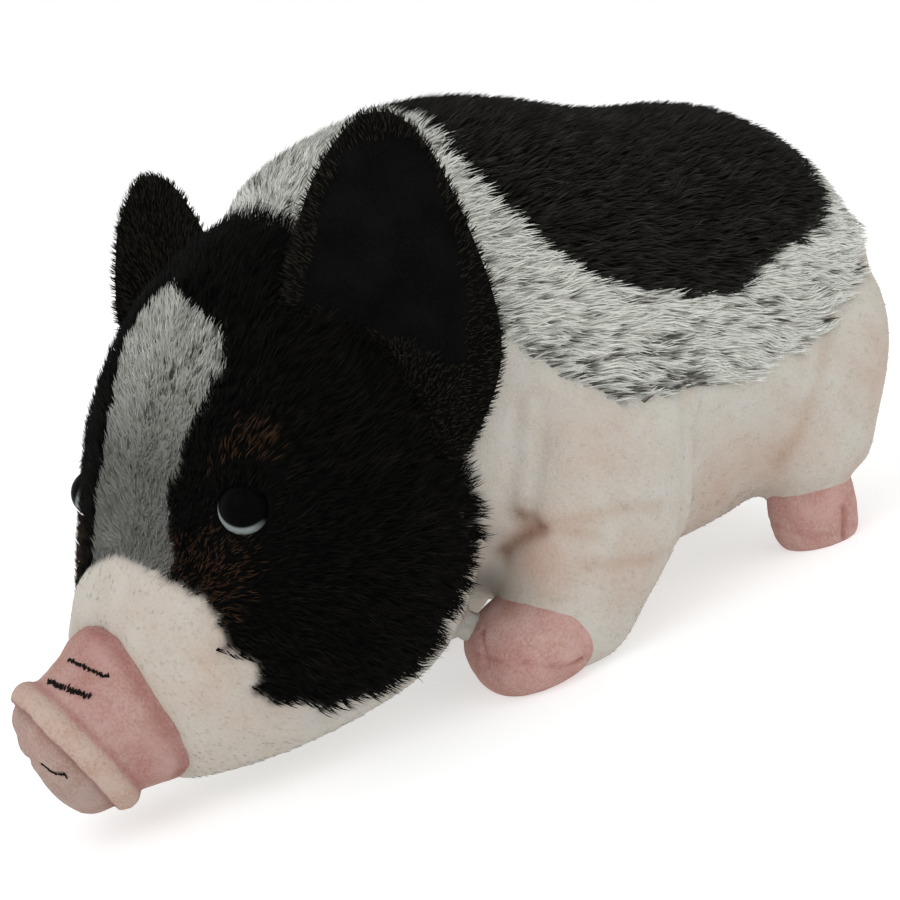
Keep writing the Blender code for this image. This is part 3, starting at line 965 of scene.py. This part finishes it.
def make_ear(side, word):
    """One cupped ear: black plush behind and round the rim, with a smooth dark lining."""
    level = spin(90, "X")
    sections = zip(EAR_X, EAR_Z, EAR_WIDTH)
    rows = [((x, 0, z), level, width, EAR_FRONT, EAR_BACK) for x, z, width in sections]
    mesh = lofted(f"Ear {word}", rows, 16)
    points = points_of(mesh)
    across, high = points[:, 0] / MM, points[:, 2] / MM
    width = np.interp(high, EAR_Z, EAR_WIDTH)
    inner = np.where(across > 0, 0.72, 0.80) + 0.03 * wobble(points, 0.006)
    lining = (normals_of(mesh)[:, 1] < -0.15) & (np.abs(across) / width < inner)
    lining &= (high < 41 - 0.03 * across**2) & (high > -11 - 0.45 * across)
    points[:, 1] -= EAR_CUP * MM * (across / EAR_HALF_WIDTH) ** 2
    points[:, 1] += 0.0008 * wobble(points, 0.016)
    matrix = ear_matrix(side)
    set_points(mesh, to_world(points, matrix))
    if side < 0:
        mesh.flip_normals()
    mesh.shade_smooth()
    shade = 1 + 0.5 * wobble(points, 0.010)[:, None]
    colours = np.where(lining[:, None], LINING_COLOUR * shade, EAR_CLOTH)
    set_colours(mesh, "cloth_colour", colours)
    tint = (0.5, 0.5, 0.5)
    velvet = fuzzy(f"Ear cloth {word}", "cloth_colour", tint, 1500, 0.35, 0.85)
    dress(link(f"Ear {word}", mesh), velvet, "black_plush", f"ear_{word}")

    rng = np.random.default_rng(settings().seed + 20 + side)
    triangles = triangles_of(mesh)
    furry = triangles[~lining[triangles].all(1)]
    roots, normals = scatter(mesh, furry, EAR_SPACING, rng)
    count = len(roots)
    place = to_local(roots, matrix)
    upward = 0.6 + np.clip(place[:, 2] / 40, 0, 1)
    flow = np.stack([place[:, 0] / 16, np.zeros(count), upward], 1) @ np.array(matrix.to_3x3()).T
    flow += ruffle(roots, 0.005, 6) * 0.5
    lie = along_surface(flow + rng.normal(0, 0.2, (count, 3)), normals)
    length = rng.uniform(0.0018, 0.0032, count)
    width = rng.uniform(0.00028, 0.00042, count)
    tips = EAR_TIP * rng.uniform(0.4, 1.8, (count, 1))
    low, high = rng.uniform(0.55, 0.9, count), rng.uniform(0.25, 0.7, count)
    bases = np.tile(EAR_ROOT, (count, 1))
    title = f"Ear pile {word}"
    pile = painted(title, "pile_colour", 0.8)
    arrays = (roots, normals, lie, length, width, low, high, bases, tips)
    add_pile(title, pile, "black_plush", *arrays)


# Snout, hooves and eyes

# Sections of the snout from its seam to the middle of its pad, in millimetres of the straight head:
# centre, turn to the left and lean in degrees, half width, reach up and reach down
SNOUT_ROWS = (
    ((-3, -113, 34), 0, 10, 22.0, 20.5, 21.0),
    ((-4, -119, 32), 0, 12, 25.0, 23.6, 24.2),
    ((-5.2, -123.5, 30.3), -3, 14.5, 23.0, 21.5, 22.5),
    ((-6.3, -127.2, 28.8), -6, 17, 21.2, 20.2, 21.2),
    ((-7.4, -130, 27.8), -9, 20, 20.4, 19.6, 20.4),
    ((-8.2, -131.6, 27.1), -11, 22.5, 19.8, 19.2, 19.8),
    ((-8.6, -132.4, 26.8), -11, 23, 20.8, 20.3, 20.8),
    ((-9.2, -134, 26.2), -11, 23, 22.2, 21.6, 22.0),
    ((-9.8, -136.2, 25.2), -11, 23, 22.3, 21.7, 22.0),
    ((-10.3, -138.1, 24.4), -11, 23, 21.0, 20.4, 20.8),
    ((-10.5, -138.6, 24.2), -11, 23, 19.8, 19.2, 19.6),
    ((-10.3, -137.9, 24.5), -11, 23, 19.0, 18.4, 18.8),
    ((-10.6, -139.4, 24.0), -11, 23, 18.4, 17.8, 18.5),
    ((-11.2, -142.4, 22.9), -12, 24, 16.4, 15.2, 17.2),
    ((-11.8, -145, 21.9), -13, 25, 11.6, 10.4, 13.0),
    ((-12.2, -146, 21.4), -14, 25, 4.6, 4.2, 5.6),
)
# Nostrils, as lines on the pad: sideways and upwards from its middle
NOSTRILS = (((7.5, 6.0), (15.5, 2.2)), ((-5.0, 6.0), (-12.5, 1.5)))
PAD_RADIUS = 19.0
SUEDE_COLOUR = np.array((0.42, 0.245, 0.225))
SUEDE_PALE = np.array((0.46, 0.315, 0.285))
SUEDE_RIM = np.array((0.45, 0.35, 0.295))
SUEDE_GREY = np.array((0.36, 0.275, 0.245))
# How much of a seam's shade each colour takes
SEAM_SHADE = np.array((0.6, 1, 1))
# The pad's disc within its rim, as a share of the pad's radius
DISC_SHARE = 0.93
# Wrinkles sewn over the snout, in millimetres of the straight head
WRINKLES = (
    ((-5, -131.4, 49.4), (4.3, -131, 47.7), (10.4, -129, 45.1)),
    ((-7, -137.8, 45.9), (2.3, -136.7, 44.2), (8.1, -134.1, 41.9)),
)
STITCHES = 20
THREAD_COLOUR = (0.008, 0.006, 0.005)
THREAD_WIDTH = 0.46 * MM


def suede(name):
    """The short-napped cloth of the snout and the hooves."""
    return fuzzy(name, "suede_colour", (0.84, 0.76, 0.70), 1250, 1.0, 0.9)


def make_snout():
    """The suede snout: a padded tube with a rolled rim round a cushioned disc."""
    rows = []
    for centre, yaw, lean, half_width, up, down in SNOUT_ROWS:
        rows.append((centre, spin(yaw, "Z") @ spin(lean, "X"), half_width, up, down))
    mesh = lofted("Snout", rows, 24)
    points, normals = points_of(mesh), normals_of(mesh)
    left, into, up = to_local(points, PAD_FRAME).T
    across = np.hypot(left, up) / PAD_RADIUS
    front = (into < -3.0) & (across < 1.06)

    push = 0.40 * wobble(points, 0.009) + 0.18 * wobble(points, 0.0035)
    # The disc is hollow above, full below, and dented at the nostrils and between them
    inner = front & (across < DISC_SHARE)
    rounded = np.clip((DISC_SHARE - across) * 4, 0, 1)
    push -= 1.5 * inner * np.clip((up - 3) / 9, 0, 1) * rounded
    push += 1.0 * inner * np.clip((2 - up) / 8, 0, 1) * rounded
    flat = np.stack([left, np.zeros(len(points)), up], 1) * MM
    for start, end in NOSTRILS:
        line = [[(start[0], 0, start[1]), (end[0], 0, end[1])]]
        push -= 1.1 * inner * bell(near_lines(flat, line), 1.7)
    push -= 1.3 * inner * bell(np.hypot(left / 9, (up - 5.5) / 1.9), 1)
    set_points(mesh, points + normals * (push * MM)[:, None])

    patchy = np.clip(0.5 + 0.8 * wobble(points, 0.011), 0, 1)[:, None]
    rim = np.clip((2.2 - into) / 1.5, 0, 1)[:, None] * 0.85
    colours = blend(blend(SUEDE_COLOUR, SUEDE_PALE, patchy), SUEDE_RIM * 1.08, rim)
    colours = np.where(front[:, None], blend(SUEDE_GREY, SUEDE_PALE, patchy * 0.5), colours)
    # Painted shade in the crease round the disc, in the groove behind the rim and along the seam
    # against the muzzle
    crease = bell(across - 1.0, 0.05) * (into < -3.0)
    groove = bell(into - 2.8, 0.9) * 0.5
    border = 0.7 * bell(gaps(to_world(points, HEAD_FRAME), "muzzle"), 0.0014) * (into > 4)
    seam = np.maximum(np.maximum(crease, groove), border)[:, None]
    set_colours(mesh, "suede_colour", colours * (1 - 0.5 * seam * SEAM_SHADE))
    mesh.transform(HEAD_FRAME)
    mesh.shade_smooth()
    cloth = suede("Pink suede")
    return dress(link("Snout", mesh), cloth, "pink_suede", "snout", "snout_pad", padding=0.9)


def stitch_row(bm, tree, start, end, length, across, rng):
    """Short threads side by side along a line that is laid on a surface, in millimetres."""
    start, end = Vector(start) * MM, Vector(end) * MM
    along = (end - start).normalized()
    for i in range(STITCHES):
        spot = start.lerp(end, (i + 0.5) / STITCHES)
        spot += along * float(rng.normal(0, 0.15)) * MM
        nearest, normal, _, _ = tree.find_nearest(spot)
        way = (across - normal * across.dot(normal)).normalized()
        way = (way + along * float(rng.normal(0.5, 0.22))).normalized()
        reach = length * float(rng.uniform(0.7, 1.25)) * MM
        middle = nearest + normal * 0.25 * MM + way * float(rng.normal(0, 0.22)) * MM
        made = bmesh.ops.create_uvsphere(bm, u_segments=8, v_segments=6, radius=0.5)
        size = Matrix.Diagonal((THREAD_WIDTH, THREAD_WIDTH, reach, 1))
        place = way.to_track_quat("Z", "Y").to_matrix().to_4x4()
        place.translation = middle
        bmesh.ops.transform(bm, matrix=place @ size, verts=made["verts"])


def make_embroidery(snout):
    """Two wrinkles over the snout and a nostril on each side, in black thread."""
    rng = np.random.default_rng(settings().seed + 50)
    tree = tree_of(snout.data)
    bm = bmesh.new()
    turn = HEAD_FRAME.to_3x3()
    for line, reach in zip(WRINKLES, (1.0, 1.6)):
        spots = [HEAD_FRAME @ (Vector(spot) * MM) / MM for spot in line]
        for start, end in zip(spots, spots[1:]):
            stitch_row(bm, tree, start, end, reach, turn @ Vector((0, -1, 0.2)), rng)
    upward = turn @ PAD_FRAME.to_3x3() @ Vector((0, 0, 1))
    for line in NOSTRILS:
        ends = [HEAD_FRAME @ PAD_FRAME @ (Vector((x, -9, z)) * MM) / MM for x, z in line]
        stitch_row(bm, tree, *ends, 1.8, upward, rng)
    mesh = mesh_from(bm, "Embroidery")
    mesh.shade_smooth()
    thread, shader = material("Black thread", 0.6)
    put(shader, Base_Color=(*THREAD_COLOUR, 1))
    dress(link("Embroidery", mesh), thread, "pink_suede")


# The seam round each hoof's sole, and its cleft, on the left side
HOOF_LINES = {
    "front": (
        ((20, -8, 10), (22, -24, 13), (30, -31, 14), (39, -32, 12.4), (46, -31, 12.3))
        + ((52, -27, 10.8), (54.2, -22, 8.1), (54.4, -17, 6.3), (54.5, -12, 6)),
        ((37.5, -30, 19), (39.6, -31.5, 15), (39, -32, 10)),
    ),
    "hind": (
        ((24, 84, 9), (28, 77, 9), (34.5, 75, 8.9), (41.2, 76.4, 6.6))
        + ((46.2, 82.9, 3.6), (46.3, 91.5, 3.4)),
        ((47.6, 89, 10), (47.4, 88, 6), (47, 87, 1)),
    ),
}


def make_hoof(end, side, word):
    """One padded suede hoof with the seam of its sole and a cleft in front."""
    node = f"hoof_{end}_{word}"
    title = f"Hoof {end} {word}"
    mesh = remeshed(title, [node], 0.0009, 16, 0.0007)
    points, normals = points_of(mesh), normals_of(mesh)
    lines = HOOF_LINES[end] if side > 0 else mirrored(HOOF_LINES[end])
    seam = bell(near_lines(points, lines[:1]), 0.8)
    cleft = bell(near_lines(points, lines[1:]), 1.0)
    push = -0.7 * seam - 1.3 * cleft + 0.35 * wobble(points, 0.008)
    above_floor = np.clip(points[:, 2] / 0.002, 0, 1)
    set_points(mesh, points + normals * (push * above_floor * MM)[:, None])
    patchy = np.clip(0.5 + 0.8 * wobble(points, 0.009), 0, 1)[:, None]
    colours = blend(SUEDE_COLOUR, SUEDE_PALE, patchy * 0.8) * 1.1
    # Painted shade along the seam of the sole and in the cleft
    colours *= 1 - 0.5 * np.maximum(seam, cleft)[:, None] * SEAM_SHADE
    set_colours(mesh, "suede_colour", colours)
    mesh.shade_smooth()
    cloth = suede(f"Hoof suede {end} {word}")
    dress(link(title, mesh), cloth, "pink_suede", node, padding=0.9)


def make_eye(side, word):
    """One glossy eye with a pale crescent under its dome."""
    bm = bmesh.new()
    bmesh.ops.create_uvsphere(bm, u_segments=96, v_segments=64, radius=EYE_RADIUS)
    mesh = mesh_from(bm, f"Eye {word}")
    spots = points_of(mesh) / EYE_RADIUS
    round_it = np.degrees(np.arctan2(spots[:, 0], -spots[:, 1]))
    tilt = np.degrees(np.arccos(np.clip(spots[:, 2], -1, 1)))
    aside = np.abs(round_it + 34) / 88
    # The lower part of the eye's rim is pale, in a crescent
    pale_crescent = np.clip((tilt - 41 - 20 * aside**2) / 7, 0, 1) * np.clip((1 - aside) * 2.5, 0, 1)
    set_colours(mesh, "eye_colour", EYE_COLOUR + EYE_CRESCENT * pale_crescent[:, None])
    mesh.transform(eye_matrix(side))
    if side < 0:
        mesh.flip_normals()
    mesh.shade_smooth()
    gloss = painted(f"Eye plastic {word}", "eye_colour", 0.35, specular=0.015)
    dress(link(f"Eye {word}", mesh), gloss, "eye_plastic", f"eye_{word}")


# Studio

# The camera, as an orbit in degrees round a target that is measured from ORIGIN
VIEW_AZIMUTH = 64.5
VIEW_HEIGHT = 11.2
VIEW_ROLL = -16.95
VIEW_DISTANCE = 0.5059
VIEW_TARGET = Vector((0.28, -4.57, 60.3)) * MM
VIEW_LENS = 69.4
WHITE = (1, 1, 1, 1)
# Each soft light's place, size and power in watts
LIGHTS = (
    ("Key light", (0.55, -0.75, 1.15), 0.9, 3.5),
    ("Fill light", (1.3, 0.7, 0.8), 1.2, 2.0),
    ("Front light", (-0.5, -1.3, 0.5), 0.9, 1.2),
)


def make_studio():
    """A white floor and surroundings, soft lights and the camera."""
    scene = bpy.context.scene
    world = bpy.data.worlds.new("Studio")
    world.use_nodes = True
    put(world.node_tree.nodes["Background"], Color=WHITE, Strength=1.0)
    scene.world = world

    bm = bmesh.new()
    bmesh.ops.create_circle(bm, cap_ends=True, segments=64, radius=12)
    floor = link("Floor", mesh_from(bm, "Floor"), "Studio")
    white, shader = material("White floor", 0.9, specular=0.0)
    put(shader, Base_Color=(0.6, 0.6, 0.6, 1), Emission_Color=WHITE, Emission_Strength=0.5)
    floor.data.materials.append(white)

    for name, place, size, power in LIGHTS:
        data = bpy.data.lights.new(name, "AREA")
        data.size = size
        data.energy = power
        light = link(name, data, "Studio")
        light.location = place
        aim = Vector((0, 0, 0.07)) - Vector(place)
        light.rotation_euler = aim.to_track_quat("-Z", "Y").to_euler()

    data = bpy.data.cameras.new("Camera")
    data.lens = VIEW_LENS
    data.sensor_width = 36
    data.clip_start = 0.01
    data.clip_end = 50
    camera = link("Camera", data, "Studio")
    camera.matrix_world = (
        Matrix.Translation(ORIGIN + VIEW_TARGET)
        @ spin(VIEW_AZIMUTH, "Z")
        @ spin(90 - VIEW_HEIGHT, "X")
        @ spin(VIEW_ROLL, "Z")
        @ Matrix.Translation((0, 0, VIEW_DISTANCE))
    )
    scene.camera = camera
    scene.view_settings.view_transform = "Standard"


# The add-on


class MakeSuede(bpy.types.Operator):
    """Makes the snout, its embroidery and the hooves"""

    bl_idname = "plush_pig.suede"
    bl_label = "Snout and hooves"

    def execute(self, context):
        snout = make_snout()
        make_embroidery(snout)
        for end in ENDS:
            for word, side in SIDES.items():
                make_hoof(end, side, word)
        return {"FINISHED"}


class MakeEyes(bpy.types.Operator):
    """Makes the eyes"""

    bl_idname = "plush_pig.eyes"
    bl_label = "Eyes"

    def execute(self, context):
        for word, side in SIDES.items():
            make_eye(side, word)
        return {"FINISHED"}


class MakeBody(bpy.types.Operator):
    """Makes the cloth skin and its pile, round the snout and hooves"""

    bl_idname = "plush_pig.body"
    bl_label = "Body and pile"

    def execute(self, context):
        covers = [obj for obj in bpy.data.objects if obj.name.startswith(("Snout", "Hoof"))]
        make_coat(make_skin(), covers)
        return {"FINISHED"}


class MakeEars(bpy.types.Operator):
    """Makes the ears and their pile"""

    bl_idname = "plush_pig.ears"
    bl_label = "Ears"

    def execute(self, context):
        for word, side in SIDES.items():
            make_ear(side, word)
        return {"FINISHED"}


class MakeStudio(bpy.types.Operator):
    """Makes the white studio, its lights and the camera"""

    bl_idname = "plush_pig.studio"
    bl_label = "Studio"

    def execute(self, context):
        make_studio()
        return {"FINISHED"}


class PigPanel(bpy.types.Panel):
    """Lists the settings and the steps"""

    bl_idname = "VIEW3D_PT_plush_pig"
    bl_label = "Plush Pig"
    bl_space_type = "VIEW_3D"
    bl_region_type = "UI"
    bl_category = "Plush Pig"

    def draw(self, context):
        for name in ("seed", "pile", "nap", "density"):
            self.layout.prop(context.scene.plush_pig, name)
        for step in STEPS:
            self.layout.operator(step.bl_idname)


STEPS = (MakeSuede, MakeEyes, MakeBody, MakeEars, MakeStudio)
CLASSES = (Settings, *STEPS, PigPanel)


def register():
    for cls in CLASSES:
        bpy.utils.register_class(cls)
    bpy.types.Scene.plush_pig = bpy.props.PointerProperty(type=Settings)


def unregister():
    del bpy.types.Scene.plush_pig
    for cls in reversed(CLASSES):
        bpy.utils.unregister_class(cls)


def corners(box):
    return [list(corner) for corner in box]


def main():
    register()
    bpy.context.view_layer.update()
    bpy.ops.plush_pig.suede()
    bpy.ops.plush_pig.eyes()
    bpy.ops.plush_pig.body()
    bpy.ops.plush_pig.ears()
    bpy.ops.plush_pig.studio()


if __name__ == "__main__":
    main()
